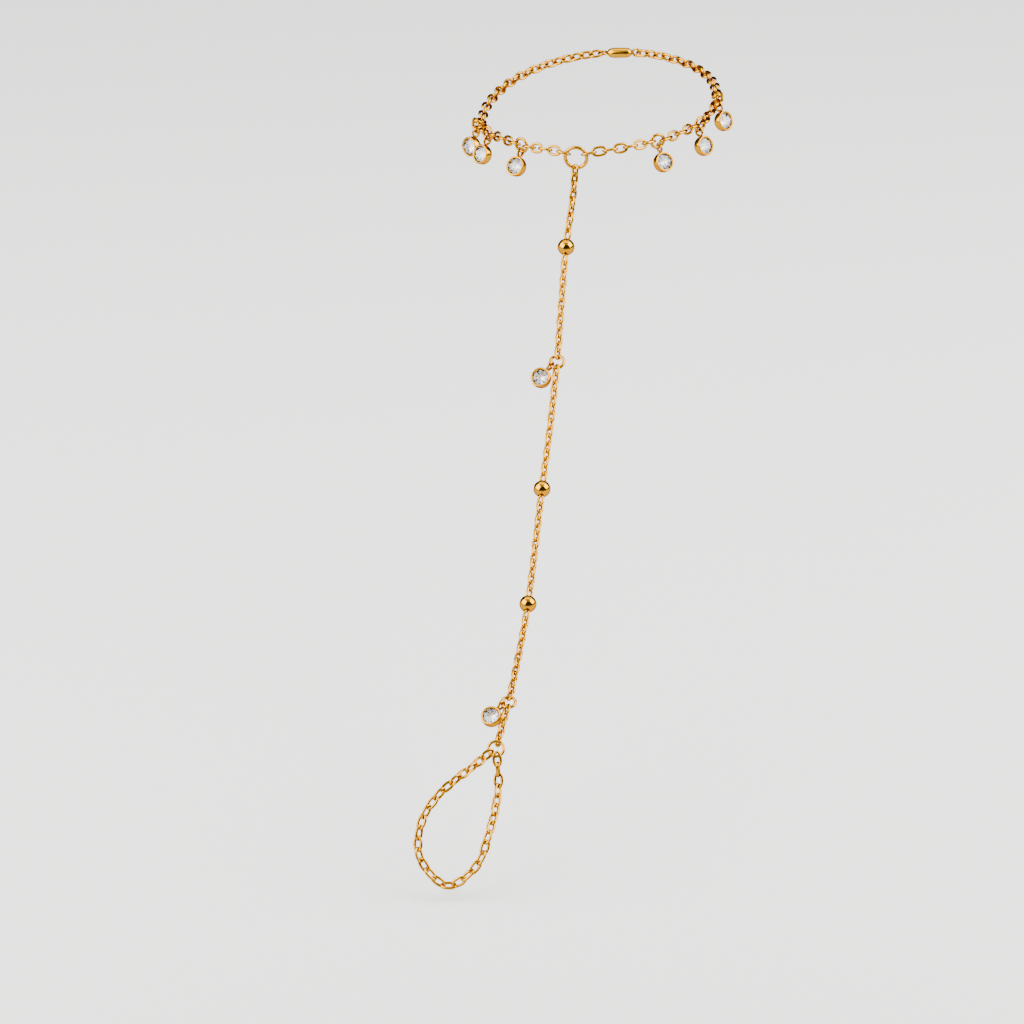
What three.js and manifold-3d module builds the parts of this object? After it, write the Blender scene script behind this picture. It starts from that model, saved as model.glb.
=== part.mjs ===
import * as THREE from 'three';
import { mergeVertices } from 'three/addons/utils/BufferGeometryUtils.js';
import Module from 'manifold-3d';

const wasm = await Module();
wasm.setup();

// Charm anklet for a left foot, worn: an ankle loop, a chain down the instep and a loop round the second toe.
// Millimetres. Origin at the centre of the ankle loop, +Z up the leg, toes toward -Y, big toe toward -X.

// Ankle loop: an ellipse seen from above. It dips where the instep chain pulls and hangs lower on the big toe
// side. Each pair is degrees round from the front, + toward +X, and the height there.
const ankle = { halfWidth: 29.18, halfDepth: 37.06 };
const ankleHeights = [
  [0, -0.35], [11, 0.45], [24, 0.95], [42, 0.8], [60, 0.55], [78, -0.1], [98, 0.35], [122, -0.3], [146, -1.1],
  [170, -1.7], [190, -2.4], [214, -3.4], [238, -4.4], [260, -5.3], [280, -5.6], [298, -3.5], [316, -1.6],
  [332, -0.75], [349, -0.05],
];

// Oval links of the ankle chain. `overlap` is how far one link sinks into the next, so that a run is one body,
// and `ease` how far the spacing of a run may be drawn out or closed up to bring a ring to its place.
const link = { length: 3.5, width: 2.64, wire: 0.56, overlap: 0.07, ease: 0.45, wireSides: 5 };

// Gap that separate pieces keep where they would touch.
const clearance = 0.12;
// Gap before the flat end of a plain tube, and the tube that stands for the finest chain.
const tube = { diameter: 1.9, sides: 8, endGap: 0.3, step: 5 };

const jumpRing = { outer: 4.02, wire: 0.66, sides: 12, wireSides: 6 };
const frontRing = { outer: 6.2, wire: 0.84, sides: 16, wireSides: 6, drop: 1.0, shift: -0.18 };
const toeRing = { outer: 4.45, wire: 0.66, sides: 14, wireSides: 6, centre: [0.21, -165.15, -103.09], rise: 40 };
const bead = { diameter: 4.2, hole: 1.5, sides: 14, bands: 6 };

// Charm: a round cup setting with a loop on its rim and a faceted stone in its mouth. `ankleTurn` and `footTurn`
// are how far the loop is turned round, so that its hole shows from the front.
const charm = {
  diameter: 5.0, front: 1.4, back: 1.5, mouth: 3.96, mouthDepth: 1.0, pocketDepth: 2.05, sides: 16,
  bailOuter: 2.8, bailWire: 0.56, bailSides: 12, bailSink: 0.13, bailSlack: 0.28, ankleTurn: 30, footTurn: 12,
};
const stone = { diameter: 3.7, table: 2.1, girdle: 0.16, crown: 0.6, pavilion: 0.95, seat: 0.54, sides: 12 };

// Plain closing piece at the hidden back of the ankle loop.
const clasp = { body: 6.5, thick: 2.6, sides: 12, eye: { outer: 2.6, wire: 0.6, sides: 12, wireSides: 5 } };

// Charm stations on the ankle, as degrees round the loop from its front, + toward +X, with the directions
// that the jump ring and the charm face, as degrees from -Y toward +X. `standOff` is how far the ring stands out
// from the loop, `rise` how far the charm faces up, and `lean` how far it leans toward +X. `near`, `far` and
// `bail` are where the run from the front, the run to the back and the charm's loop sit on the ring, as degrees
// round it from its rearmost point, + over its top.
const ankleStations = [
  {
    name: 3, at: -30, links: 5, ring: -29, standOff: 0,
    near: 180, far: 0, bail: -80, face: -28, rise: 30, lean: 6,
  },
  {
    name: 2, at: -57, links: 5, ring: -42, standOff: 0.5,
    near: 180, far: 0, bail: -84, face: -41, rise: 24, lean: 4,
  },
  {
    name: 1, at: -78, links: 3, ring: -54, standOff: 1.45,
    near: 180, far: 125, bail: -90, face: -38, rise: 10, lean: -10,
  },
  {
    name: 4, at: 40.4, links: 7, ring: 31, standOff: 0,
    near: 180, far: 0, bail: -74, face: 44, rise: 30, lean: -6,
  },
  {
    name: 5, at: 71.4, links: 5, ring: 56, standOff: 0.4,
    near: 180, far: 0, bail: -100, face: 54, rise: 24, lean: -3,
  },
  {
    name: 6, at: 96, links: 5, ring: 70, standOff: 0.8,
    near: 180, far: 125, bail: -90, face: 58, rise: 24, lean: -5,
  },
];

// Stations down the instep. `rise` is how far the charm faces up, `swing` where its loop sits round the ring
// from the chain's own direction, `lean` how far the charm leans toward the big toe.
const footStations = [
  { kind: 'bead', name: 1, at: [-1.17, -46.55, -21.4] },
  { kind: 'charm', name: 7, at: [0.24, -70.05, -42.29], face: -6, rise: 40, swing: 54, lean: 26 },
  { kind: 'bead', name: 2, at: [0.84, -97.75, -64.29] },
  { kind: 'bead', name: 3, at: [1.5, -123.94, -83.33] },
  { kind: 'charm', name: 8, at: [1.05, -151.26, -97.1], face: -12, rise: 50, swing: 54, lean: 20 },
];
// Points that the instep chain bends through between its stations.
const instepBends = [[-0.5, -39.9, -10.5], [-0.6, -57.6, -32.2], [0.7, -84, -53.7], [1.3, -138, -91.3]];

// Course of the toe loop, from the left of the toe ring over the toe, under it, and back between the toes.
const toeCourse = [
  [-4.6, -169.6, -106.0], [-8.6, -174.3, -108.0], [-12.6, -177.9, -111.4], [-15.4, -181.3, -116.6],
  [-15.0, -184.9, -123.8], [-8.0, -187.0, -129.6], [-1.4, -184.6, -125.0], [0.8, -179.6, -118.6],
  [1.4, -172.6, -114.6], [1.2, -167.6, -110.6],
];

const deg = Math.PI / 180;
const gold = new THREE.MeshStandardMaterial({ name: 'gold', color: '#e8b04a', metalness: 1, roughness: 0.2 });
const clear = new THREE.MeshStandardMaterial({ name: 'stone', color: '#f2f5f7', metalness: 0, roughness: 0.05 });
const vec = (a) => new THREE.Vector3(...a);

function toSolid(geometry) {
  const bare = geometry.clone();
  bare.deleteAttribute('normal');
  bare.deleteAttribute('uv');
  const merged = mergeVertices(bare, 1e-4);
  return new wasm.Manifold(new wasm.Mesh({
    numProp: 3,
    vertProperties: new Float32Array(merged.attributes.position.array),
    triVerts: new Uint32Array(merged.index.array),
  }));
}

function fromSolid(solid) {
  const mesh = solid.getMesh();
  const geometry = new THREE.BufferGeometry();
  geometry.setAttribute('position', new THREE.BufferAttribute(new Float32Array(mesh.vertProperties), 3));
  geometry.setIndex(new THREE.BufferAttribute(new Uint32Array(mesh.triVerts), 1));
  return geometry;
}

// Matrix with the given local axes at a point: x along `axis`, z as near `normal` as it can be.
function frame(centre, axis, normal) {
  const x = axis.clone().normalize();
  const y = normal.clone().cross(x).normalize();
  const z = x.clone().cross(y);
  return new THREE.Matrix4().makeBasis(x, y, z).setPosition(centre);
}

// Direction by its angle from -Y toward +X and its rise above level.
function facing(turn, rise = 0) {
  return new THREE.Vector3(
    Math.sin(turn * deg) * Math.cos(rise * deg), -Math.cos(turn * deg) * Math.cos(rise * deg), Math.sin(rise * deg));
}

// Round wire bent into a closed flat loop through `points`, with one face of the wire turned to the inside.
function wireLoop(points, wire, sides) {
  const count = points.length;
  const flat = [];
  for (let i = 0; i < count; i++) {
    const before = points[i].clone().sub(points[(i + count - 1) % count]).normalize();
    const after = points[(i + 1) % count].clone().sub(points[i]).normalize();
    const out = new THREE.Vector2(before.y + after.y, -before.x - after.x).normalize();
    const miter = before.y * out.x - before.x * out.y;
    for (let j = 0; j < sides; j++) {
      const turn = 2 * Math.PI * (j + (sides % 2 ? 0 : 0.5)) / sides;
      const reach = wire / 2 * Math.cos(turn) / miter;
      flat.push(points[i].x + out.x * reach, points[i].y + out.y * reach, wire / 2 * Math.sin(turn));
    }
  }
  const faces = [];
  for (let i = 0; i < count; i++) {
    for (let j = 0; j < sides; j++) {
      const a = i * sides + j;
      const b = i * sides + (j + 1) % sides;
      const c = (i + 1) % count * sides + j;
      const d = (i + 1) % count * sides + (j + 1) % sides;
      faces.push(a, c, b, b, c, d);
    }
  }
  const geometry = new THREE.BufferGeometry();
  geometry.setAttribute('position', new THREE.Float32BufferAttribute(flat, 3));
  geometry.setIndex(faces);
  return geometry;
}

function roundLoop(outer, wire, sides, wireSides) {
  const radius = (outer - wire) / 2;
  const points = [];
  for (let i = 0; i < sides; i++) {
    const turn = 2 * Math.PI * (i + 0.5) / sides;
    points.push(new THREE.Vector2(radius * Math.cos(turn), radius * Math.sin(turn)));
  }
  return wireLoop(points, wire, wireSides);
}

// Ten-sided oval link, long along x, with a short flat at each tip where the next link bears.
function ovalLink({ length, width, wire, wireSides }) {
  const tip = 24;
  const along = (length - wire) / 2;
  const across = (width - wire) / 2;
  const turns = [tip, 57, 90, 123, 180 - tip, 180 + tip, 237, 270, 303, 360 - tip];
  const points = turns.map((turn) => new THREE.Vector2(
    along * Math.cos(turn * deg) / Math.cos(tip * deg), across * Math.sin(turn * deg)));
  return wireLoop(points, wire, wireSides);
}

// Distance from a link's centre to its inner face at the tip.
const linkReach = link.length / 2 - link.wire / 2 - link.wire / 2 * Math.cos(Math.PI / link.wireSides);
const pitch = 2 * linkReach + link.overlap;

// Points of the ankle loop by length along it from the front, + toward +X.
const loop = new THREE.CatmullRomCurve3(ankleHeights.map(([turn, height]) => new THREE.Vector3(
  ankle.halfWidth * Math.sin(turn * deg), -ankle.halfDepth * Math.cos(turn * deg), height)), true, 'centripetal');
loop.arcLengthDivisions = 2400;
const halfLoop = loop.getLength() / 2;
const share = (length) => ((length / (2 * halfLoop)) % 1 + 1) % 1;
const ankleAt = (length) => loop.getPointAt(share(length));

function lengthAt(turn) {
  const aim = new THREE.Vector2(Math.sin(turn * deg), -Math.cos(turn * deg));
  let best = 0;
  let nearest = Infinity;
  for (let length = -halfLoop; length < halfLoop; length += 0.1) {
    const point = ankleAt(length);
    const miss = aim.distanceTo(new THREE.Vector2(point.x / ankle.halfWidth, point.y / ankle.halfDepth));
    if (miss < nearest) {
      nearest = miss;
      best = length;
    }
  }
  return best;
}

// Level direction straight out of the leg at a length along the loop.
function outAt(length) {
  const along = loop.getTangentAt(share(length));
  return new THREE.Vector3(along.y, -along.x, 0).normalize();
}

// From the middle of a ring to the middle of a link that hangs on it.
const ringToLink = (ring) => ring.outer / 2 - ring.wire + linkReach - clearance;

const pieces = [];
function add(name, geometry, material = gold) {
  const mesh = new THREE.Mesh(geometry, material);
  mesh.name = name;
  pieces.push(mesh);
}

// A fused run of links between holds on two wires, along the ankle loop at the given lengths between them, every
// other link on edge. Its links are a hair longer or shorter than their size, so that they fill the run.
function addRun(name, lengths, start, end) {
  const last = lengths.length - 1;
  const between = lengths.slice(1, -1).map((length) => ankleAt(length));
  const course = new THREE.CatmullRomCurve3([start.wire, ...between, end.wire], false, 'centripetal');
  course.arcLengthDivisions = 100 * last;
  const total = course.getLength();
  const reach = (total + start.inset + end.inset - last * link.overlap) / (2 * last + 2);
  const centres = lengths.map((_, i) => course.getPointAt(
    (reach - start.inset + i * (2 * reach + link.overlap)) / total));
  const one = toSolid(ovalLink({ ...link, length: link.length + 2 * (reach - linkReach) }));
  const solids = centres.map((centre, i) => {
    const before = centre.clone().sub(i > 0 ? centres[i - 1] : start.wire).normalize();
    const after = (i < last ? centres[i + 1] : end.wire).clone().sub(centre).normalize();
    const axis = before.add(after).normalize();
    const out = outAt(lengths[i]);
    return one.transform(frame(centre, axis, i % 2 ? out : axis.clone().cross(out)).elements);
  });
  add(name, fromSolid(wasm.Manifold.union(solids).simplify(0.004)));
}

// Where a link hangs on a ring: the middle of the wire in the direction given, and how far past it the inner face
// of the link's tip lies.
function holdOn(centre, ring, direction) {
  const aim = direction.clone().normalize();
  return {
    wire: centre.clone().addScaledVector(aim, (ring.outer - ring.wire) / 2),
    inset: ring.wire / 2 + clearance,
  };
}

function addRing(name, ring, centre, normal, along) {
  const geometry = roundLoop(ring.outer, ring.wire, ring.sides, ring.wireSides);
  add(name, geometry.applyMatrix4(frame(centre, along, normal)));
}

// Cup setting with its loop, centred on the loop, facing +z, hanging toward -y.
function settingSolid(bailTwist) {
  const radius = charm.diameter / 2;
  const mouth = charm.mouth / 2;
  const profile = [
    [0, -charm.back], [radius * 0.56, -charm.back * 0.9], [radius * 0.9, -charm.back * 0.5], [radius, 0.1],
    [radius, charm.front - 0.15],
    [radius - 0.16, charm.front], [mouth, charm.front], [mouth, charm.front - charm.mouthDepth],
    [0, charm.front - charm.pocketDepth],
  ];
  const cup = new THREE.LatheGeometry(profile.map((p) => new THREE.Vector2(...p)), charm.sides);
  cup.rotateY(Math.PI / charm.sides).rotateX(Math.PI / 2);
  cup.translate(0, -charmDrop, 0);
  const bail = roundLoop(charm.bailOuter, charm.bailWire, charm.bailSides, 5).rotateY(bailTwist);
  return toSolid(cup).add(toSolid(bail)).simplify(0.004);
}
const charmDrop = charm.bailOuter / 2 + charm.diameter / 2 - charm.bailSink;

// Round stone: a flat table, a ring of crown facets, a thin girdle and a pointed back.
function stoneGeometry() {
  const radius = stone.diameter / 2;
  const profile = [
    [0, stone.seat - stone.pavilion], [radius, stone.seat], [radius, stone.seat + stone.girdle],
    [stone.table / 2, stone.seat + stone.girdle + stone.crown], [0, stone.seat + stone.girdle + stone.crown],
  ];
  const body = new THREE.LatheGeometry(profile.map((p) => new THREE.Vector2(...p)), stone.sides);
  return body.rotateX(Math.PI / 2).translate(0, -charmDrop, 0);
}

// A charm whose loop is threaded on the ring's wire, where `swing` points from the ring's middle. The loop
// lies across the wire there, turned by `bailTurn` so that its hole shows from the front.
function addCharm(name, ringCentre, ringOut, swing, face, hang, bailTurn) {
  const reach = jumpRing.outer / 2 - jumpRing.wire / 2 + charm.bailSlack;
  const centre = ringCentre.clone().addScaledVector(swing, reach);
  const up = hang.clone().negate();
  const side = up.clone().cross(face).normalize();
  const wireAlong = swing.clone().cross(ringOut).normalize();
  if (wireAlong.dot(facing(0)) < 0) wireAlong.negate();
  const across = wireAlong.multiplyScalar(Math.cos(bailTurn * deg)).addScaledVector(ringOut, Math.sin(bailTurn * deg));
  const twist = Math.atan2(across.dot(side), across.dot(face));
  const place = new THREE.Matrix4().makeBasis(side, up, face.clone().normalize()).setPosition(centre);
  add(`charm_setting_${name}`, fromSolid(settingSolid(twist).transform(place.elements)));
  add(`charm_stone_${name}`, stoneGeometry().applyMatrix4(place), clear);
}

// Ankle: rings, charms and runs of links outward from the front ring on each side, then the runs to the clasp.
const up = new THREE.Vector3(0, 0, 1);
const down = new THREE.Vector3(0, 0, -1);
const frontCentre = ankleAt(0).add(new THREE.Vector3(frontRing.shift, 0.12, -frontRing.drop));
addRing('front_ring', frontRing, frontCentre, new THREE.Vector3(0, -1, 0), new THREE.Vector3(1, 0, 0));

// From the middle of the clasp to the middle of either eye, which is sunk a little into its body.
const claspToEye = clasp.body / 2 + clasp.eye.outer / 2 - 0.2;
const eyeSolids = [];

for (const side of [-1, 1]) {
  // First link: as far from the front ring's middle as its hold on the wire allows.
  let length = 0;
  while (ankleAt(side * length).distanceTo(frontCentre) < ringToLink(frontRing)) length += 0.005;
  const firstAim = ankleAt(side * length).sub(frontCentre);
  firstAim.y = 0;
  let start = holdOn(frontCentre, frontRing, firstAim);
  const stations = ankleStations.filter((station) => Math.sign(station.at) === side);
  for (const station of stations) {
    const span = Math.abs(lengthAt(station.at)) - length - ringToLink(jumpRing);
    const spare = span / pitch - station.links + 1;
    const count = Math.max(3, station.links + 2 * Math.trunc(spare / 1.5));
    const eased = THREE.MathUtils.clamp(span / (count - 1), pitch - link.ease, pitch + link.ease);
    const lengths = Array.from({ length: count }, (_, i) => side * (length + i * eased));
    const ringLength = length + (count - 1) * eased + ringToLink(jumpRing);
    const centre = ankleAt(side * ringLength).addScaledVector(outAt(side * ringLength), station.standOff);
    const ringOut = facing(station.ring);
    const along = up.clone().cross(ringOut).multiplyScalar(side);
    const round = (turn) => along.clone().multiplyScalar(Math.cos(turn * deg))
      .addScaledVector(up, Math.sin(turn * deg));
    addRun(`ankle_chain_${station.name}`, lengths, start, holdOn(centre, jumpRing, round(station.near)));
    addRing(`jump_ring_${station.name}`, jumpRing, centre, ringOut, along);
    const face = facing(station.face, station.rise);
    const hang = down.clone().projectOnPlane(face).normalize().applyAxisAngle(face, station.lean * deg);
    addCharm(station.name, centre, ringOut, round(station.bail), face, hang, charm.ankleTurn);
    start = holdOn(centre, jumpRing, round(station.far));
    length = ringLength + ringToLink(jumpRing) * Math.cos(station.far * deg);
  }
  // Back run: whole links up to the clasp, spaced to close the loop.
  const last = halfLoop - claspToEye - ringToLink(clasp.eye);
  const count = Math.round((last - length) / pitch) + 1;
  const eased = (last - length) / (count - 1);
  const lengths = Array.from({ length: count }, (_, i) => side * (length + i * eased));
  const eyeCentre = ankleAt(side * (halfLoop - claspToEye));
  const toLink = ankleAt(lengths[count - 1]).sub(eyeCentre);
  addRun(side < 0 ? 'ankle_chain_back_left' : 'ankle_chain_back_right', lengths, start,
    holdOn(eyeCentre, clasp.eye, toLink));
  const eye = roundLoop(clasp.eye.outer, clasp.eye.wire, clasp.eye.sides, clasp.eye.wireSides);
  const back = new THREE.Vector3(0, 1, 0);
  eye.applyMatrix4(frame(eyeCentre, toLink, count % 2 ? back : up));
  eyeSolids.push({ centre: eyeCentre, solid: toSolid(eye) });
}

const claspEnds = eyeSolids.map((eye) => eye.centre);
const claspBody = new THREE.LatheGeometry([
  [0, -0.5], [0.32, -0.47], [0.5, -0.3], [0.5, 0.3], [0.32, 0.47], [0, 0.5],
].map(([across, along]) => new THREE.Vector2(across * clasp.thick, along * clasp.body)), clasp.sides);
claspBody.rotateZ(-Math.PI / 2);
claspBody.applyMatrix4(frame(
  claspEnds[0].clone().lerp(claspEnds[1], 0.5), claspEnds[1].clone().sub(claspEnds[0]), new THREE.Vector3(0, 1, 0)));
add('clasp', fromSolid(wasm.Manifold.union([toSolid(claspBody), ...eyeSolids.map((eye) => eye.solid)])));

// Instep chain: one smooth course from the front ring to the toe ring, through the bends and the stations.
const toeCentre = vec(toeRing.centre);
const instep = new THREE.CatmullRomCurve3([
  frontCentre,
  vec(instepBends[0]), vec(footStations[0].at),
  vec(instepBends[1]), vec(footStations[1].at),
  vec(instepBends[2]), vec(footStations[2].at),
  vec(footStations[3].at), vec(instepBends[3]),
  vec(footStations[4].at), toeCentre,
], false, 'centripetal');
instep.arcLengthDivisions = 2000;
const instepLength = instep.getLength();
const instepAt = (length) => instep.getPointAt(Math.min(1, Math.max(0, length / instepLength)));
const instepAlong = (length) => instep.getTangentAt(Math.min(1, Math.max(0, length / instepLength)));

function instepLengthAt(point) {
  let best = 0;
  for (let length = 0; length <= instepLength; length += 0.05) {
    if (instepAt(length).distanceTo(point) < instepAt(best).distanceTo(point)) best = length;
  }
  return best;
}

// Plain round tube through points, standing for a stretch of the finest chain.
function addTube(name, points) {
  const curve = new THREE.CatmullRomCurve3(points, false, 'centripetal');
  const section = new THREE.Shape(Array.from({ length: tube.sides }, (_, i) => {
    const turn = 2 * Math.PI * (i + 0.5) / tube.sides;
    return new THREE.Vector2(tube.diameter / 2 * Math.cos(turn), tube.diameter / 2 * Math.sin(turn));
  }));
  const steps = Math.max(2, Math.round(curve.getLength() / tube.step));
  add(name, new THREE.ExtrudeGeometry(section, { steps, extrudePath: curve, bevelEnabled: false }));
}

// Round bead, drilled along the chain, with its poles cut back to the edge of the hole.
function beadGeometry() {
  const radius = bead.diameter / 2;
  const pole = Math.acos(bead.hole / bead.diameter);
  const profile = Array.from({ length: bead.bands + 1 }, (_, i) => {
    const turn = pole * (2 * i / bead.bands - 1);
    return new THREE.Vector2(radius * Math.cos(turn), radius * Math.sin(turn));
  });
  profile.push(profile[0].clone());
  return new THREE.LatheGeometry(profile, bead.sides);
}
const beadHalf = Math.sqrt(bead.diameter ** 2 - bead.hole ** 2) / 2;

// Direction out of the foot at a length along the instep chain.
function footOut(length) {
  const along = instepAlong(length);
  const out = new THREE.Vector3(0, along.z, -along.y);
  return out.multiplyScalar(Math.sign(out.z)).normalize();
}

let from = frontRing.outer / 2 + tube.endGap;
footStations.forEach((station, i) => {
  const at = instepLengthAt(vec(station.at));
  const centre = instepAt(at);
  const half = station.kind === 'bead' ? beadHalf : jumpRing.outer / 2;
  const to = at - half - tube.endGap;
  const count = Math.max(2, Math.round((to - from) / tube.step));
  const route = Array.from({ length: count + 1 }, (_, k) => instepAt(from + (to - from) * k / count));
  addTube(`foot_chain_${i + 1}`, route);
  from = at + half + tube.endGap;
  if (station.kind === 'bead') {
    const turn = new THREE.Quaternion().setFromUnitVectors(new THREE.Vector3(0, 1, 0), instepAlong(at));
    add(`bead_${station.name}`, beadGeometry().applyQuaternion(turn).translate(...centre.toArray()));
    return;
  }
  const out = footOut(at);
  const along = instepAlong(at);
  addRing(`jump_ring_${station.name}`, jumpRing, centre, out, along);
  const swing = along.clone().applyAxisAngle(out, -station.swing * deg);
  const face = facing(station.face, station.rise);
  const slope = down.clone().projectOnPlane(face).normalize().applyAxisAngle(face, -station.lean * deg);
  addCharm(station.name, centre, out, swing, face, slope, charm.footTurn);
});

// Last stretch to the toe ring, and the loop round the toe from one side of that ring to the other.
const toeOut = facing(0, toeRing.rise);
const toeDown = down.clone().projectOnPlane(toeOut).normalize();
addRing('toe_ring', toeRing, toeCentre, toeOut, toeDown);
const last = instepLength - toeRing.outer / 2 - tube.endGap;
const lastCount = Math.max(2, Math.round((last - from) / tube.step));
addTube(`foot_chain_${footStations.length + 1}`,
  Array.from({ length: lastCount + 1 }, (_, k) => instepAt(from + (last - from) * k / lastCount)));

const leave = toeRing.outer / 2 + tube.endGap;
const toeStart = toeCentre.clone().addScaledVector(toeDown.clone().applyAxisAngle(toeOut, -52 * deg), leave);
const toeEnd = toeCentre.clone().addScaledVector(toeDown.clone().applyAxisAngle(toeOut, 12 * deg), leave);
addTube('toe_chain', [toeStart, ...toeCourse.map(vec), toeEnd]);

const group = new THREE.Group();
group.name = 'charm_anklet';
for (const mesh of pieces) group.add(mesh);
export default group;
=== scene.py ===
from math import acos, atan2, cos, floor, pi, radians, sin, sqrt
import bpy
from mathutils import Matrix, Quaternion, Vector


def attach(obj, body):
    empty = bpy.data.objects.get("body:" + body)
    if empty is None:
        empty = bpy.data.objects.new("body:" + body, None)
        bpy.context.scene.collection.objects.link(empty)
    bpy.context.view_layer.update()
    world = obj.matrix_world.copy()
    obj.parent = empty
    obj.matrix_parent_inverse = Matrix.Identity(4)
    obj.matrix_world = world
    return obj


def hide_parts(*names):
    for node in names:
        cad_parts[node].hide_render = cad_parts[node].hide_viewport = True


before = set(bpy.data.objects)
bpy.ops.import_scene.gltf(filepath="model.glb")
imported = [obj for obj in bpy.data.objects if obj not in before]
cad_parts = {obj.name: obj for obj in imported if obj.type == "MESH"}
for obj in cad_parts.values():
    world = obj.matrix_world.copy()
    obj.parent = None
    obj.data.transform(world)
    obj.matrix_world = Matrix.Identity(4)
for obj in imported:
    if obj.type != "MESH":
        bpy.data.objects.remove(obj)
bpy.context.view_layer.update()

# Lengths below are in millimetres, as in the part's source, and become metres where a mesh is made.
MM = 0.001


def facing(turn, rise=0.0):
    """Direction turned from the front (-y) toward +x and raised, both in degrees."""
    t, r = radians(turn), radians(rise)
    return Vector((sin(t) * cos(r), -cos(t) * cos(r), sin(r)))


# Camera: a long lens from the photo's angle.
AZIMUTH, ELEVATION, DISTANCE = 9.0, 24.0, 2500.0
TARGET = Vector((-7.012, -95.0, -72.2))
MM_PER_PIXEL = 0.245
PICTURE_PIXELS = 1024
SENSOR = 36.0
to_camera = facing(AZIMUTH, ELEVATION)
camera_data = bpy.data.cameras.new("camera")
camera_data.sensor_width = SENSOR
camera_data.lens = SENSOR * DISTANCE / (PICTURE_PIXELS * MM_PER_PIXEL)
camera_data.clip_start = 0.05
camera_data.clip_end = 20.0
camera = bpy.data.objects.new("camera", camera_data)
camera.location = (TARGET + to_camera * DISTANCE) * MM
camera.rotation_euler = to_camera.to_track_quat("Z", "Y").to_euler()
bpy.context.scene.collection.objects.link(camera)
bpy.context.scene.camera = camera

# The named sizes and chosen points of the part. Each height of the ankle loop is (degrees from the front, z).
ANKLE = dict(half_width=29.18, half_depth=37.06)
ANKLE_HEIGHTS = [
    (0, -0.35), (11, 0.45), (24, 0.95), (42, 0.8), (60, 0.55), (78, -0.1), (98, 0.35),
    (122, -0.3), (146, -1.1), (170, -1.7), (190, -2.4), (214, -3.4), (238, -4.4), (260, -5.3),
    (280, -5.6), (298, -3.5), (316, -1.6), (332, -0.75), (349, -0.05)]
# overlap: how far neighbours bear into each other. ease: how far a run's pitch may leave the usual one.
LINK = dict(length=3.75, width=2.76, wire=0.7, overlap=0.07, ease=0.45)
# ring_gap: how far an end link's tip stays clear of the ring's wire on the inside. bead_bite: how far it
# reaches into a bead. sway: degrees of slow twist along the chain.
FINE = dict(width=2.2, wire=0.7, pitch=2.06, ring_gap=0.04, bead_bite=0.45, turn=45, sway=10, sway_step=0.7)
TOE_LINKS = dict(width=2.4, wire=0.7, pitch=2.7, roll=34)
TIP_GAP = 0.02
CLEARANCE = 0.12
JUMP = dict(outer=4.14, wire=0.78)
FRONT = dict(outer=6.32, wire=0.93, drop=1.0, shift=-0.18, back=0.12)
# leave: where the toe loop leaves the ring, in degrees from its lowest point. link_out: from the ring's edge
# to the middle of an end link. wire_out: from the ring's middle to the wire that the end links point at.
TOE_RING = dict(outer=4.52, wire=0.74, centre=(0.21, -165.15, -103.09), rise=40,
                leave=(-52, 12), link_out=0.3, wire_out=1.9)
BEAD = dict(diameter=4.2, hole=1.5)
CHARM = dict(diameter=5.0, front=1.4, back=1.5, mouth=3.96, bail_height=2.84, bail_width=2.14, bail_wire=0.66,
             bail_sink=0.13, bail_slack=0.28, neck_sink=0.1, ankle_turn=30, foot_turn=12, stone_turn=11)
CUP = dict(flat=0.3, base_depth=1.6, lip_height=0.24, wall_end=0.45, ledge=0.72, ledge_width=0.02,
           pocket_width=0.5, pocket_height=0.1, pocket_floor=-0.7)
BRILLIANT = dict(radius=1.92, table=1.12, star=1.5, lower=0.45, girdle_low=1.02, girdle_high=1.1, top=1.6,
                 culet=-0.42)
BACK_FACETS = 24
CLASP = dict(body=6.5, thick=2.6, outer=2.6, wire=0.6, eye_sink=0.2)
# Half profiles as (radius, height): the neck of a charm's loop in mm, the clasp in shares of its own size.
NECK = [(0.0, -0.32), (0.2, -0.29), (0.34, -0.16), (0.38, 0.0), (0.34, 0.16), (0.2, 0.29), (0.0, 0.32)]
NECK_SCALE = (1.0, 0.55, 0.9, 1.0)
BARREL = [(0.0, -0.5), (0.14, -0.492), (0.26, -0.465), (0.36, -0.42), (0.44, -0.36), (0.49, -0.28),
          (0.5, -0.2)]
# Each ring with a charm on the ankle: where it is, in degrees round the loop, how many links lead to it,
# which way it faces, how far out it sits, where on it the runs and the loop hold, and how the charm hangs.
ANKLE_STATIONS = [
    dict(name=3, at=-30, links=5, ring=-29, off=0, near=180, far=0, bail=-80, face=-28, rise=30, lean=6),
    dict(name=2, at=-57, links=5, ring=-42, off=0.5, near=180, far=0, bail=-84, face=-41, rise=24, lean=4),
    dict(name=1, at=-78, links=3, ring=-54, off=1.45, near=180, far=125, bail=-90, face=-38, rise=10,
         lean=-10),
    dict(name=4, at=40.4, links=7, ring=31, off=0, near=180, far=0, bail=-74, face=44, rise=30, lean=-6),
    dict(name=5, at=71.4, links=5, ring=56, off=0.4, near=180, far=0, bail=-100, face=54, rise=24, lean=-3),
    dict(name=6, at=96, links=5, ring=70, off=0.8, near=180, far=125, bail=-90, face=58, rise=24, lean=-5)]
FOOT_STATIONS = [
    dict(kind="bead", name=1, at=(-1.17, -46.55, -21.4)),
    dict(kind="charm", name=7, at=(0.24, -70.05, -42.29), face=-6, rise=40, swing=54, lean=26),
    dict(kind="bead", name=2, at=(0.84, -97.75, -64.29)),
    dict(kind="bead", name=3, at=(1.5, -123.94, -83.33)),
    dict(kind="charm", name=8, at=(1.05, -151.26, -97.1), face=-12, rise=50, swing=54, lean=20)]
INSTEP_BENDS = [(-0.5, -39.9, -10.5), (-0.6, -57.6, -32.2), (0.7, -84, -53.7), (1.3, -138, -91.3)]
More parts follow.
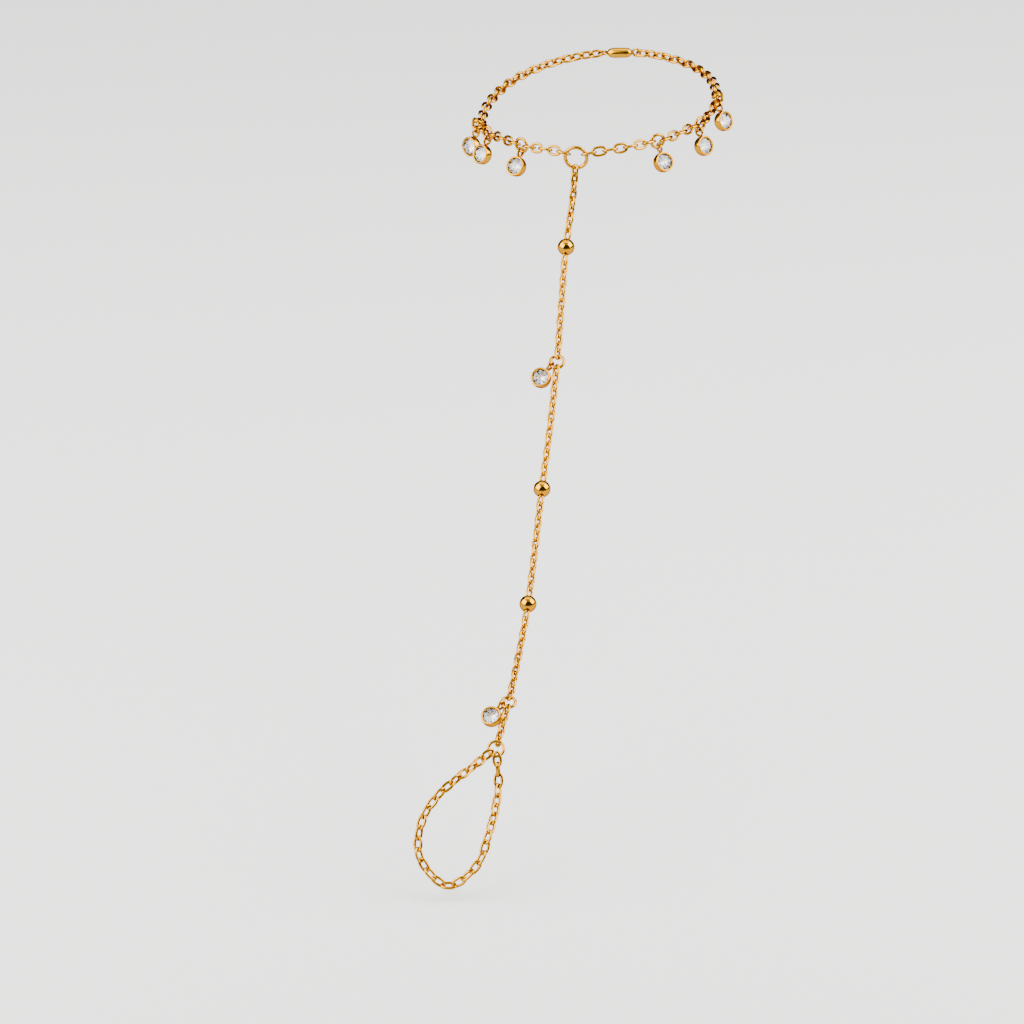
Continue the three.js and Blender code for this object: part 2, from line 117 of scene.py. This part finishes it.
TOE_COURSE = [
    (-4.6, -169.6, -106.0), (-8.6, -174.3, -108.0), (-12.6, -177.9, -111.4), (-15.4, -181.3, -116.6),
    (-15.0, -184.9, -123.8), (-8.0, -187.0, -129.6), (-1.4, -184.6, -125.0), (0.8, -179.6, -118.6),
    (1.4, -172.6, -114.6), (1.2, -167.6, -110.6)]
FLOOR = -133.0

# How far the flat of a link lies back against the leg, and the direction that the fine links lie toward.
LEAN_BACK = 0.42
LIE = facing(9, 24)

UP = Vector((0, 0, 1))
DOWN = Vector((0, 0, -1))


class Course:
    """A smooth curve (centripetal Catmull-Rom) through points, read by length along it."""

    def __init__(self, points, closed=False, samples=2400):
        self.points = [Vector(p) for p in points]
        self.closed = closed
        self.samples = samples
        self.lengths = [0.0]
        last = self.point(0.0)
        for i in range(1, samples + 1):
            here = self.point(i / samples)
            self.lengths.append(self.lengths[-1] + (here - last).length)
            last = here
        self.total = self.lengths[-1]

    def point(self, t):
        points, count = self.points, len(self.points)
        place = (count if self.closed else count - 1) * t
        i = floor(place)
        w = place - i
        if self.closed:
            i %= count
        elif i >= count - 1:
            i, w = count - 2, 1.0
        p1, p2 = points[i % count], points[(i + 1) % count]
        p0 = points[(i - 1) % count] if self.closed or i > 0 else 2 * points[0] - points[1]
        inside = self.closed or i + 2 < count
        p3 = points[(i + 2) % count] if inside else 2 * points[-1] - points[-2]
        d0, d1, d2 = sqrt((p1 - p0).length), sqrt((p2 - p1).length), sqrt((p3 - p2).length)
        t1 = ((p1 - p0) / d0 - (p2 - p0) / (d0 + d1) + (p2 - p1) / d1) * d1
        t2 = ((p2 - p1) / d1 - (p3 - p1) / (d1 + d2) + (p3 - p2) / d2) * d1
        square = -3 * p1 + 3 * p2 - 2 * t1 - t2
        cube = 2 * p1 - 2 * p2 + t1 + t2
        return p1 + t1 * w + square * w ** 2 + cube * w ** 3

    def at(self, length):
        length = length % self.total if self.closed else min(max(length, 0.0), self.total)
        low, high = 0, self.samples
        while high - low > 1:
            mid = (low + high) // 2
            if self.lengths[mid] > length:
                high = mid
            else:
                low = mid
        share = (length - self.lengths[low]) / max(self.lengths[high] - self.lengths[low], 1e-9)
        return self.point((low + share) / self.samples)

    def along(self, length):
        return (self.at(length + 0.02) - self.at(length - 0.02)).normalized()

    def nearest(self, target, step=0.05):
        target = Vector(target)
        best = min(range(int(self.total / step)), key=lambda i: (self.at(i * step) - target).length)
        return best * step


def axes(centre, x, z):
    """Matrix with local x along x and local z as near z as it can be."""
    x = x.normalized()
    y = z.cross(x).normalized()
    z = x.cross(y)
    return Matrix.Translation(centre) @ Matrix((x, y, z)).transposed().to_4x4()


# Materials. GOLD is its colour face on, GOLD_EDGE at a grazing angle.
GOLD, GOLD_EDGE = (0.43, 0.198, 0.001), (0.3, 0.12, 0.0)
GOLD_SHADE = (0.96, 0.94, 0.86)
MARK_TILT = (0.4, 0.7, 0.3)
RIPPLE_HEIGHT = 0.00004


def nodes_of(name):
    material = bpy.data.materials.new(name)
    material.use_nodes = True
    tree = material.node_tree
    return material, tree, tree.nodes["Principled BSDF"]


def noise(tree, vector, scale, detail, roughness=0.5, stretch=None):
    node = tree.nodes.new("ShaderNodeTexNoise")
    node.inputs["Scale"].default_value = scale
    node.inputs["Detail"].default_value = detail
    node.inputs["Roughness"].default_value = roughness
    source = vector
    if stretch:
        mapping = tree.nodes.new("ShaderNodeMapping")
        mapping.inputs["Scale"].default_value = stretch
        mapping.inputs["Rotation"].default_value = MARK_TILT
        tree.links.new(vector, mapping.inputs["Vector"])
        source = mapping.outputs["Vector"]
    tree.links.new(source, node.inputs["Vector"])
    return node.outputs["Fac"]


def ramp(tree, value, low, high, start=0.0, end=1.0):
    node = tree.nodes.new("ShaderNodeMapRange")
    node.inputs["From Min"].default_value = start
    node.inputs["From Max"].default_value = end
    node.inputs["To Min"].default_value = low
    node.inputs["To Max"].default_value = high
    tree.links.new(value, node.inputs["Value"])
    return node.outputs["Result"]


def two_tones(tree, value, first, second, start, end):
    """Colour that goes from the first to the second as the value goes from start to end."""
    node = tree.nodes.new("ShaderNodeValToRGB")
    node.color_ramp.elements[0].position = start
    node.color_ramp.elements[1].position = end
    node.color_ramp.elements[0].color = (*first, 1)
    node.color_ramp.elements[1].color = (*second, 1)
    tree.links.new(value, node.inputs["Fac"])
    return node.outputs["Color"]


def gold_material(name, rough_low, rough_high, bump):
    """Polished gold plate: fine polishing marks in the gloss and slow, faint changes of tone."""
    material, tree, shader = nodes_of(name)
    shader.inputs["Metallic"].default_value = 1.0
    shader.inputs["Specular Tint"].default_value = (*GOLD_EDGE, 1)
    coordinates = tree.nodes.new("ShaderNodeTexCoord").outputs["Object"]
    tone = noise(tree, coordinates, scale=260.0, detail=2.0)
    shade = [part * share for part, share in zip(GOLD, GOLD_SHADE)]
    tree.links.new(two_tones(tree, tone, shade, GOLD, 0.3, 0.7), shader.inputs["Base Color"])
    marks = noise(tree, coordinates, scale=1500.0, detail=5.0, roughness=0.65, stretch=(1.0, 5.0, 1.0))
    tree.links.new(ramp(tree, marks, rough_low, rough_high, 0.3, 0.7), shader.inputs["Roughness"])
    ripple = noise(tree, coordinates, scale=900.0, detail=3.0)
    bumps = tree.nodes.new("ShaderNodeBump")
    bumps.inputs["Strength"].default_value = bump
    bumps.inputs["Distance"].default_value = RIPPLE_HEIGHT
    tree.links.new(ripple, bumps.inputs["Height"])
    tree.links.new(bumps.outputs["Normal"], shader.inputs["Normal"])
    return material


gold_wire = gold_material("gold_wire", rough_low=0.10, rough_high=0.20, bump=0.25)
gold_bead = gold_material("gold_bead", rough_low=0.05, rough_high=0.12, bump=0.10)
gold_cast = gold_material("gold_cast", rough_low=0.10, rough_high=0.22, bump=0.35)


def stone_material():
    """Clear cut stone, its facets very slightly smeared."""
    material, tree, shader = nodes_of("cut_stone")
    shader.inputs["Base Color"].default_value = (0.98, 0.985, 1.0, 1)
    shader.inputs["Transmission Weight"].default_value = 1.0
    shader.inputs["IOR"].default_value = 1.62
    coordinates = tree.nodes.new("ShaderNodeTexCoord").outputs["Object"]
    smear = noise(tree, coordinates, scale=1200.0, detail=4.0)
    tree.links.new(ramp(tree, smear, 0.0, 0.03, 0.35, 0.75), shader.inputs["Roughness"])
    return material


def foil_material(name, cool, warm, rough):
    """Coat on the back facets of the stone with faint cool and warm patches: silver foil, or dark grey as
    painted shade.
    """
    material, tree, shader = nodes_of(name)
    shader.inputs["Metallic"].default_value = 0.9
    coordinates = tree.nodes.new("ShaderNodeTexCoord").outputs["Object"]
    patches = noise(tree, coordinates, scale=900.0, detail=2.0)
    tree.links.new(two_tones(tree, patches, cool, warm, 0.35, 0.65), shader.inputs["Base Color"])
    creases = noise(tree, coordinates, scale=2500.0, detail=3.0)
    tree.links.new(ramp(tree, creases, rough * 0.8, rough, 0.3, 0.7), shader.inputs["Roughness"])
    return material


clear_stone = stone_material()
foil = foil_material("foil", cool=(0.94, 0.95, 1.0), warm=(1.0, 1.0, 1.0), rough=0.32)
# The dark coat is painted shade: it darkens some back facets in place of the shade a cut stone shows in them.
painted_shade_foil = foil_material("foil_painted_shade", cool=(0.22, 0.22, 0.3), warm=(0.4, 0.39, 0.45), rough=0.1)


# Meshes. Each shape is (points, faces) in millimetres.
def swept_loop(points, wire, sides):
    """Round wire bent through a closed flat loop of points in the local xy plane."""
    count = len(points)
    out, faces = [], []
    for i, p in enumerate(points):
        before, after = points[i - 1], points[(i + 1) % count]
        along = Vector((after[0] - before[0], after[1] - before[1], 0)).normalized()
        side = Vector((along.y, -along.x, 0))
        for j in range(sides):
            turn = 2 * pi * j / sides
            middle = Vector((p[0], p[1], 0))
            out.append(middle + side * (wire / 2 * cos(turn)) + UP * (wire / 2 * sin(turn)))
    for i in range(count):
        for j in range(sides):
            a0, b0 = i * sides + j, i * sides + (j + 1) % sides
            a1, b1 = (i + 1) % count * sides + j, (i + 1) % count * sides + (j + 1) % sides
            faces.append((a0, a1, b1, b0))
    return out, faces


def oval(half_x, half_y, sides):
    return [(half_x * cos(2 * pi * i / sides), half_y * sin(2 * pi * i / sides)) for i in range(sides)]


def ring_shape(outer, wire, sides=56, wire_sides=16):
    radius = (outer - wire) / 2
    return swept_loop(oval(radius, radius, sides), wire, wire_sides)


def bail_shape(sides=44, wire_sides=14):
    """The charm's loop: round wire bent to an oval, long toward the cup."""
    across, along = [(CHARM[key] - CHARM["bail_wire"]) / 2 for key in ("bail_width", "bail_height")]
    return swept_loop(oval(across, along, sides), CHARM["bail_wire"], wire_sides)


def link_shape(length, width, wire, sides=32, wire_sides=12, square=0.86):
    """Oval link: an ellipse pushed out a little toward a flat-sided oval."""
    along, across = (length - wire) / 2, (width - wire) / 2

    def pushed(value):
        return abs(value) ** square * (1 if value >= 0 else -1)
    points = [(along * pushed(x), across * pushed(y)) for x, y in oval(1.0, 1.0, sides)]
    return swept_loop(points, wire, wire_sides)


def lathe_shape(profile, sides=64):
    """Profile of (radius, height) turned about local z. A radius of 0 ends it in a point."""
    points, faces, rows = [], [], []
    for radius, height in profile:
        if radius < 1e-6:
            rows.append([len(points)] * sides)
            points.append(Vector((0, 0, height)))
            continue
        start = len(points)
        rows.append(list(range(start, start + sides)))
        points += [Vector((radius * cos(2 * pi * j / sides), radius * sin(2 * pi * j / sides), height))
                   for j in range(sides)]
    for low, high in zip(rows, rows[1:]):
        for j in range(sides):
            k = (j + 1) % sides
            face = []
            for corner in (low[j], low[k], high[k], high[j]):
                if corner not in face:
                    face.append(corner)
            faces.append(tuple(face))
    return points, faces


def join(parts):
    points, faces = [], []
    for shape, matrix in parts:
        start = len(points)
        points += [matrix @ p for p in shape[0]]
        faces += [tuple(i + start for i in face) for face in shape[1]]
    return points, faces


def make(name, parts, materials, node, smooth=40.0):
    """One object from a list of (shape, matrix). Edges over smooth degrees stay sharp, and all do at 0."""
    points, faces = join(parts)
    mesh = bpy.data.meshes.new(name)
    mesh.from_pydata([p * MM for p in points], [], faces)
    for material in materials:
        mesh.materials.append(material)
    mesh.polygons.foreach_set("use_smooth", [smooth > 0] * len(faces))
    if smooth > 0:
        mesh.set_sharp_from_angle(angle=radians(smooth))
    mesh.update()
    mesh.validate()
    piece = bpy.data.objects.new(name, mesh)
    bpy.context.scene.collection.objects.link(piece)
    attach(piece, "root")
    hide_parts(*([node] if isinstance(node, str) else node))
    return piece


# Ankle loop. REACH is from a link's middle to where it bears on its neighbour. The wire of the solids has
# five sides, and the visual links keep the pitch that this gives.
LOOP = Course([(ANKLE["half_width"] * sin(radians(t)), -ANKLE["half_depth"] * cos(radians(t)), h)
               for t, h in ANKLE_HEIGHTS], closed=True)
HALF = LOOP.total / 2
CAD_WIRE_SIDES = 5
REACH = LINK["length"] / 2 - LINK["wire"] / 2 - LINK["wire"] / 2 * cos(pi / CAD_WIRE_SIDES)
PITCH = 2 * REACH + LINK["overlap"]


def out_at(length):
    along = LOOP.along(length)
    return Vector((along.y, -along.x, 0)).normalized()


def length_at(turn, step=0.1):
    """The length along the loop at so many degrees round from the front, to the nearest step."""
    aim = Vector((sin(radians(turn)), -cos(radians(turn))))
    best, nearest = 0.0, 1e9
    for i in range(int(2 * HALF / step)):
        length = -HALF + i * step
        p = LOOP.at(length)
        miss = (Vector((p.x / ANKLE["half_width"], p.y / ANKLE["half_depth"])) - aim).length
        if miss < nearest:
            best, nearest = length, miss
    return best


def ring_to_link(ring):
    return ring["outer"] / 2 - ring["wire"] + REACH - CLEARANCE


def hold_on(centre, ring, direction):
    """The middle of the wire in a direction, and how far past it the inner face of a link's tip lies."""
    radius = (ring["outer"] - ring["wire"]) / 2
    return centre + direction.normalized() * radius, ring["wire"] / 2 + CLEARANCE


def link_run(name, centres, normals, start, end, width, wire, node):
    """Links at the centres, each as long as its distance to its neighbours asks, one piece in all."""
    parts = []
    last = len(centres) - 1
    gaps = [(q - p).length for p, q in zip(centres, centres[1:])]
    for i, centre in enumerate(centres):
        before = (centre - (centres[i - 1] if i > 0 else start)).normalized()
        after = ((centres[i + 1] if i < last else end) - centre).normalized()
        axis = (before + after).normalized()
        near = gaps[max(i - 1, 0):i + 1]
        length = sum(near) / len(near) + 2 * wire - TIP_GAP
        parts.append((link_shape(length, width, wire), axes(centre, axis, normals(i, axis))))
    return make(name, parts, [gold_wire], node)


def ankle_run(node, lengths, start, end):
    """Links from one ring's wire to the next, along the loop at the lengths, every other one on edge."""
    last = len(lengths) - 1
    course = Course([start[0], *[LOOP.at(length) for length in lengths[1:-1]], end[0]], samples=100 * last)
    reach = (course.total + start[1] + end[1] - last * LINK["overlap"]) / (2 * last + 2)
    centres = [course.at(reach - start[1] + i * (2 * reach + LINK["overlap"])) for i in range(last + 1)]

    def normals(i, axis):
        out = out_at(lengths[i]) + UP * LEAN_BACK
        return out if i % 2 else axis.cross(out)
    link_run(node + "_links", centres, normals, start[0], end[0], LINK["width"], LINK["wire"], node)


def add_ring(node, ring, centre, normal, along):
    make(node + "_wire", [(ring_shape(ring["outer"], ring["wire"]), axes(centre, along, normal))],
         [gold_wire], node)


# Charm: a turned cup setting with its loop, and a brilliant-cut stone.
DROP = CHARM["bail_height"] / 2 + CHARM["diameter"] / 2 - CHARM["bail_sink"]


def cup_profile(steps=8):
    """From the middle of the round base, over the lip, down into the pocket behind the stone."""
    radius, mouth = CHARM["diameter"] / 2, CHARM["mouth"] / 2
    front, base = CHARM["front"], -CHARM["back"]
    profile = [(0.0, base)]
    for i in range(1, steps + 1):
        turn = pi / 2 * i / steps
        profile.append((radius * CUP["flat"] + radius * (1 - CUP["flat"]) * sin(turn),
                        base + CUP["base_depth"] * (1 - cos(turn))))
    lip = (radius - mouth) / 2
    for i in range(steps + 1):
        turn = pi * i / steps
        profile.append((mouth + lip + lip * cos(turn),
                        front - CUP["lip_height"] + CUP["lip_height"] * sin(turn)))
    profile += [(mouth, front - CUP["wall_end"]), (mouth - CUP["ledge_width"], front - CUP["ledge"]),
                (mouth - CUP["pocket_width"], CUP["pocket_height"]), (0.0, CUP["pocket_floor"])]
    return profile


def brilliant():
    """Round brilliant: (points, faces), the coated back facets last."""
    radius, table, star, lower = [BRILLIANT[key] for key in ("radius", "table", "star", "lower")]
    low, high, top, culet = [BRILLIANT[key] for key in ("girdle_low", "girdle_high", "top", "culet")]
    points, faces, back_faces = [], [], []

    def ring(r, z, count, offset=0.0):
        """Points round the axis: returns the number of the first."""
        start = len(points)
        for i in range(count):
            turn = 2 * pi * (i + offset) / count
            points.append(Vector((r * cos(turn), r * sin(turn), z)))
        return start
    crown_slope = (top - high) / (radius - table)
    back_slope = (low - culet) / radius
    half_step = cos(pi / 8)
    # Rings by letter: table, star, girdle high, girdle low, pavilion. The point q is the culet.
    t = ring(table, top, 8)
    s = ring(star, top - (star * half_step - table) * crown_slope, 8, 0.5)
    g = ring(radius, high, 16)
    h = ring(radius, low, 16)
    p = ring(lower, culet + lower * half_step * back_slope, 8, 0.5)
    q = len(points)
    points.append(Vector((0, 0, culet)))
    faces.append(tuple(t + i for i in range(8)))
    for i in range(8):
        k, j = (i + 1) % 8, (i - 1) % 8
        faces.append((t + i, s + i, t + k))
        faces.append((t + i, s + j, g + 2 * i, s + i))
        faces.append((s + i, g + 2 * i, g + 2 * i + 1))
        faces.append((s + i, g + 2 * i + 1, g + (2 * i + 2) % 16))
        back_faces.append((q, p + i, h + 2 * i, p + j))
        back_faces.append((p + i, h + 2 * i + 1, h + 2 * i))
        back_faces.append((p + i, h + (2 * i + 2) % 16, h + 2 * i + 1))
    for i in range(16):
        k = (i + 1) % 16
        faces.append((g + i, h + i, h + k, g + k))
    return points, faces + back_faces


def add_charm(name, ring_centre, ring_out, swing, face, hang, bail_turn):
    """Setting and stone: swing points from the ring's middle to the loop, hang from the loop to the cup."""
    reach = (JUMP["outer"] - JUMP["wire"]) / 2 + CHARM["bail_slack"]
    centre = ring_centre + swing * reach
    up = -hang
    side = up.cross(face).normalized()
    wire_along = swing.cross(ring_out).normalized()
    if wire_along.dot(facing(0)) < 0:
        wire_along.negate()
    across = wire_along * cos(radians(bail_turn)) + ring_out * sin(radians(bail_turn))
    twist = atan2(across.dot(side), across.dot(face))
    place = Matrix.Translation(centre) @ Matrix((side, up, face.normalized())).transposed().to_4x4()
    cup = place @ Matrix.Translation((0, -DROP, 0))
    neck_at = Matrix.Translation((0, -CHARM["bail_height"] / 2 + CHARM["neck_sink"], 0))
    parts = [
        (lathe_shape(cup_profile(), 72), cup),
        (bail_shape(), place @ Matrix.Rotation(twist, 4, "Y")),
        (lathe_shape(NECK, 20),
         place @ neck_at @ Matrix.Rotation(twist, 4, "Y") @ Matrix.Diagonal(NECK_SCALE))]
    make(f"charm_setting_{name}_cup", parts, [gold_cast], f"charm_setting_{name}")
    turned = cup @ Matrix.Rotation(radians(CHARM["stone_turn"] * name), 4, "Z")
    points, faces = brilliant()
    piece = make(f"charm_stone_{name}_cut", [((points, faces), turned)], [clear_stone, foil, painted_shade_foil],
                 f"charm_stone_{name}", smooth=0)
    # Clear in front. Behind, every third facet has a dark grey coat: painted shade, standing in for the dark
    # facets of a cut stone.
    piece.data.polygons.foreach_set(
        "material_index", [0] * (len(faces) - BACK_FACETS) + [1, 1, 2] * (BACK_FACETS // 3))


front_centre = LOOP.at(0) + Vector((FRONT["shift"], FRONT["back"], -FRONT["drop"]))
add_ring("front_ring", FRONT, front_centre, Vector((0, -1, 0)), Vector((1, 0, 0)))

clasp_to_eye = CLASP["body"] / 2 + CLASP["outer"] / 2 - CLASP["eye_sink"]
eyes = []
for side in (-1, 1):
    length = 0.0
    while (LOOP.at(side * length) - front_centre).length < ring_to_link(FRONT):
        length += 0.005
    aim = LOOP.at(side * length) - front_centre
    aim.y = 0
    start = hold_on(front_centre, FRONT, aim)
    for st in [s for s in ANKLE_STATIONS if s["at"] * side > 0]:
        span = abs(length_at(st["at"])) - length - ring_to_link(JUMP)
        spare = span / PITCH - st["links"] + 1
        count = max(3, st["links"] + 2 * int(spare / 1.5))
        eased = min(max(span / (count - 1), PITCH - LINK["ease"]), PITCH + LINK["ease"])
        lengths = [side * (length + i * eased) for i in range(count)]
        ring_length = length + (count - 1) * eased + ring_to_link(JUMP)
        centre = LOOP.at(side * ring_length) + out_at(side * ring_length) * st["off"]
        ring_out = facing(st["ring"])
        along = UP.cross(ring_out) * side
        near, far, bail = [along * cos(radians(st[key])) + UP * sin(radians(st[key]))
                           for key in ("near", "far", "bail")]
        ankle_run(f"ankle_chain_{st['name']}", lengths, start, hold_on(centre, JUMP, near))
        add_ring(f"jump_ring_{st['name']}", JUMP, centre, ring_out, along)
        face = facing(st["face"], st["rise"])
        hang = (DOWN - face * DOWN.dot(face)).normalized()
        hang.rotate(Quaternion(face, radians(st["lean"])))
        add_charm(st["name"], centre, ring_out, bail, face, hang, CHARM["ankle_turn"])
        start = hold_on(centre, JUMP, far)
        length = ring_length + ring_to_link(JUMP) * cos(radians(st["far"]))
    last = HALF - clasp_to_eye - ring_to_link(CLASP)
    count = floor((last - length) / PITCH + 0.5) + 1
    eased = (last - length) / (count - 1)
    lengths = [side * (length + i * eased) for i in range(count)]
    eye = LOOP.at(side * (HALF - clasp_to_eye))
    to_link = LOOP.at(lengths[-1]) - eye
    ankle_run("ankle_chain_back_left" if side < 0 else "ankle_chain_back_right", lengths, start,
              hold_on(eye, CLASP, to_link))
    eyes.append((eye, to_link, Vector((0, 1, 0)) if count % 2 else UP))

# Clasp: a plain rounded barrel with an eye at each end.
barrel = BARREL + [(r, -h) for r, h in reversed(BARREL)]
clasp_axis = eyes[1][0] - eyes[0][0]
clasp_centre = (eyes[0][0] + eyes[1][0]) / 2
parts = [(lathe_shape([(r * CLASP["thick"], h * CLASP["body"]) for r, h in barrel], 40),
          axes(clasp_centre, clasp_axis, Vector((0, 1, 0))) @ Matrix.Rotation(pi / 2, 4, "Y"))]
parts += [(ring_shape(CLASP["outer"], CLASP["wire"], sides=40, wire_sides=14), axes(eye, to_link, normal))
          for eye, to_link, normal in eyes]
make("clasp_body", parts, [gold_cast], "clasp")

# Instep chain.
toe_centre = Vector(TOE_RING["centre"])
stations = [Vector(s["at"]) for s in FOOT_STATIONS]
bends = [Vector(p) for p in INSTEP_BENDS]
INSTEP = Course([front_centre, bends[0], stations[0], bends[1], stations[1], bends[2], stations[2],
                 stations[3], bends[3], stations[4], toe_centre])
FINE_LENGTH = FINE["pitch"] + 2 * FINE["wire"]


def foot_out(length):
    """Square to the instep chain and away from the foot."""
    along = INSTEP.along(length)
    out = Vector((0, along.z, -along.y))
    return (out if out.z > 0 else -out).normalized()


def fine_hold(ring):
    """From a ring's middle to the middle of a fine link that hangs in it."""
    return ring["outer"] / 2 - ring["wire"] + FINE_LENGTH / 2 - FINE["wire"] - FINE["ring_gap"]


bead_half = sqrt(BEAD["diameter"] ** 2 - BEAD["hole"] ** 2) / 2
bead_hold = bead_half + FINE_LENGTH / 2 - FINE["bead_bite"]


def fine_run(node, begin, finish):
    """Fine links along the instep between two lengths, every other one a quarter turn on."""
    count = max(2, round((finish - begin) / FINE["pitch"]) + 1)
    lengths = [begin + (finish - begin) * i / (count - 1) for i in range(count)]
    centres = [INSTEP.at(length) for length in lengths]

    def normals(i, axis):
        out = (LIE - axis * LIE.dot(axis)).normalized()
        sway = FINE["sway"] * sin(i * FINE["sway_step"])
        out.rotate(Quaternion(axis, radians(FINE["turn"] + sway + (90 if i % 2 else 0))))
        return out
    link_run(node + "_links", centres, normals, INSTEP.at(begin - 1), INSTEP.at(finish + 1), FINE["width"],
             FINE["wire"], node)


def bead_shape():
    """Drilled bead: a polished ball with a small rounded rim at each end of its hole."""
    radius, hole = BEAD["diameter"] / 2, BEAD["hole"] / 2
    steps, rim, rim_depth, waist, rim_turn = 36, 0.03, 0.02, 0.01, 0.05
    pole = acos(BEAD["hole"] / BEAD["diameter"]) - rim_turn
    profile = []
    for i in range(steps + 1):
        turn = pole * (2 * i / steps - 1)
        profile.append((radius * cos(turn), radius * sin(turn)))
    top = profile[-1][1]
    profile += [(hole + rim, top + rim), (hole, top - rim_depth), (hole - waist, 0.0),
                (hole, -top + rim_depth), (hole + rim, -top - rim), profile[0]]
    return lathe_shape(profile, 64)


begin = fine_hold(FRONT)
for i, st in enumerate(FOOT_STATIONS):
    at = INSTEP.nearest(st["at"])
    hold = bead_hold if st["kind"] == "bead" else fine_hold(JUMP)
    fine_run(f"foot_chain_{i + 1}", begin, at - hold)
    begin = at + hold
    centre, along = INSTEP.at(at), INSTEP.along(at)
    if st["kind"] == "bead":
        make(f"bead_{st['name']}_ball", [(bead_shape(), axes(centre, along, foot_out(at))
             @ Matrix.Rotation(pi / 2, 4, "Y"))], [gold_bead], f"bead_{st['name']}")
        continue
    out = foot_out(at)
    add_ring(f"jump_ring_{st['name']}", JUMP, centre, out, along)
    swing = along.copy()
    swing.rotate(Quaternion(out, radians(-st["swing"])))
    face = facing(st["face"], st["rise"])
    slope = (DOWN - face * DOWN.dot(face)).normalized()
    slope.rotate(Quaternion(face, radians(-st["lean"])))
    add_charm(st["name"], centre, out, swing, face, slope, CHARM["foot_turn"])
fine_run(f"foot_chain_{len(FOOT_STATIONS) + 1}", begin, INSTEP.total - fine_hold(TOE_RING))

# Toe ring and the loop of fine links round the toe.
toe_out = facing(0, TOE_RING["rise"])
toe_down = (DOWN - toe_out * DOWN.dot(toe_out)).normalized()
add_ring("toe_ring", TOE_RING, toe_centre, toe_out, toe_down)


def leaving(turn):
    """Direction in the toe ring's plane, in degrees from its lowest point."""
    aim = toe_down.copy()
    aim.rotate(Quaternion(toe_out, radians(turn)))
    return aim


leave = TOE_RING["outer"] / 2 + TOE_RING["link_out"]
first_aim, last_aim = [leaving(turn) for turn in TOE_RING["leave"]]
TOE = Course([toe_centre + first_aim * leave, *TOE_COURSE, toe_centre + last_aim * leave])
toe_middle = sum((Vector(p) for p in TOE_COURSE), Vector()) / len(TOE_COURSE)
count = round(TOE.total / TOE_LINKS["pitch"]) + 1
lengths = [TOE.total * i / (count - 1) for i in range(count)]


def toe_normals(i, axis):
    """Every link rolled to one side or the other of the plane that lies on the toe."""
    out = TOE.at(lengths[i]) - toe_middle
    out -= axis * out.dot(axis)
    side = axis.cross(out.normalized())
    side.rotate(Quaternion(axis, radians(TOE_LINKS["roll"] * (1 if i % 2 else -1))))
    return side


link_run("toe_chain_links", [TOE.at(length) for length in lengths], toe_normals,
         toe_centre + first_aim * TOE_RING["wire_out"], toe_centre + last_aim * TOE_RING["wire_out"],
         TOE_LINKS["width"], TOE_LINKS["wire"], "toe_chain")

# Floor and studio light. From here on lengths are in metres.
FLOOR_HALF = 6.0
LAMP_DISTANCE = 0.9
SIDE_COLOUR = (1.0, 0.99, 0.95)
floor_level = FLOOR * MM
floor_mesh = bpy.data.meshes.new("floor")
corners = [(-1, -1), (1, -1), (1, 1), (-1, 1)]
floor_mesh.from_pydata([(x * FLOOR_HALF, y * FLOOR_HALF, floor_level) for x, y in corners], [],
                       [(0, 1, 2, 3)])
floor_object = bpy.data.objects.new("floor", floor_mesh)
bpy.context.scene.collection.objects.link(floor_object)
floor_material, _, floor_shader = nodes_of("floor")
floor_shader.inputs["Base Color"].default_value = (0.54, 0.54, 0.545, 1)
floor_shader.inputs["Roughness"].default_value = 0.9
floor_shader.inputs["Specular IOR Level"].default_value = 0.1
floor_mesh.materials.append(floor_material)

world = bpy.data.worlds.new("studio")
bpy.context.scene.world = world
world.use_nodes = True
background = world.node_tree.nodes["Background"]
background.inputs["Color"].default_value = (0.92, 0.95, 1.0, 1)
background.inputs["Strength"].default_value = 0.1


def softbox(name, place, aim, width, height, power, colour=(1, 1, 1)):
    """A rectangle of light at a place in metres, turned toward another."""
    light = bpy.data.lights.new(name, "AREA")
    light.shape = "RECTANGLE"
    light.size = width
    light.size_y = height
    light.energy = power
    light.color = colour
    lamp = bpy.data.objects.new(name, light)
    lamp.location = place
    lamp.rotation_euler = (place - aim).to_track_quat("Z", "Y").to_euler()
    bpy.context.scene.collection.objects.link(lamp)


middle = TARGET * MM
softbox("left", middle + facing(-64, 33) * LAMP_DISTANCE, middle, width=1.1, height=0.9, power=42.0,
        colour=SIDE_COLOUR)
softbox("right", middle + facing(94, 36) * LAMP_DISTANCE, middle, width=0.9, height=0.8, power=34.0,
        colour=SIDE_COLOUR)
softbox("top", middle + facing(9, 84) * LAMP_DISTANCE, middle, width=1.2, height=0.9, power=4.0)
softbox("backdrop", Vector((0.02, 0.2, 0.5)), Vector((0.02, 0.16, floor_level)), width=0.9, height=0.6,
        power=7.0)
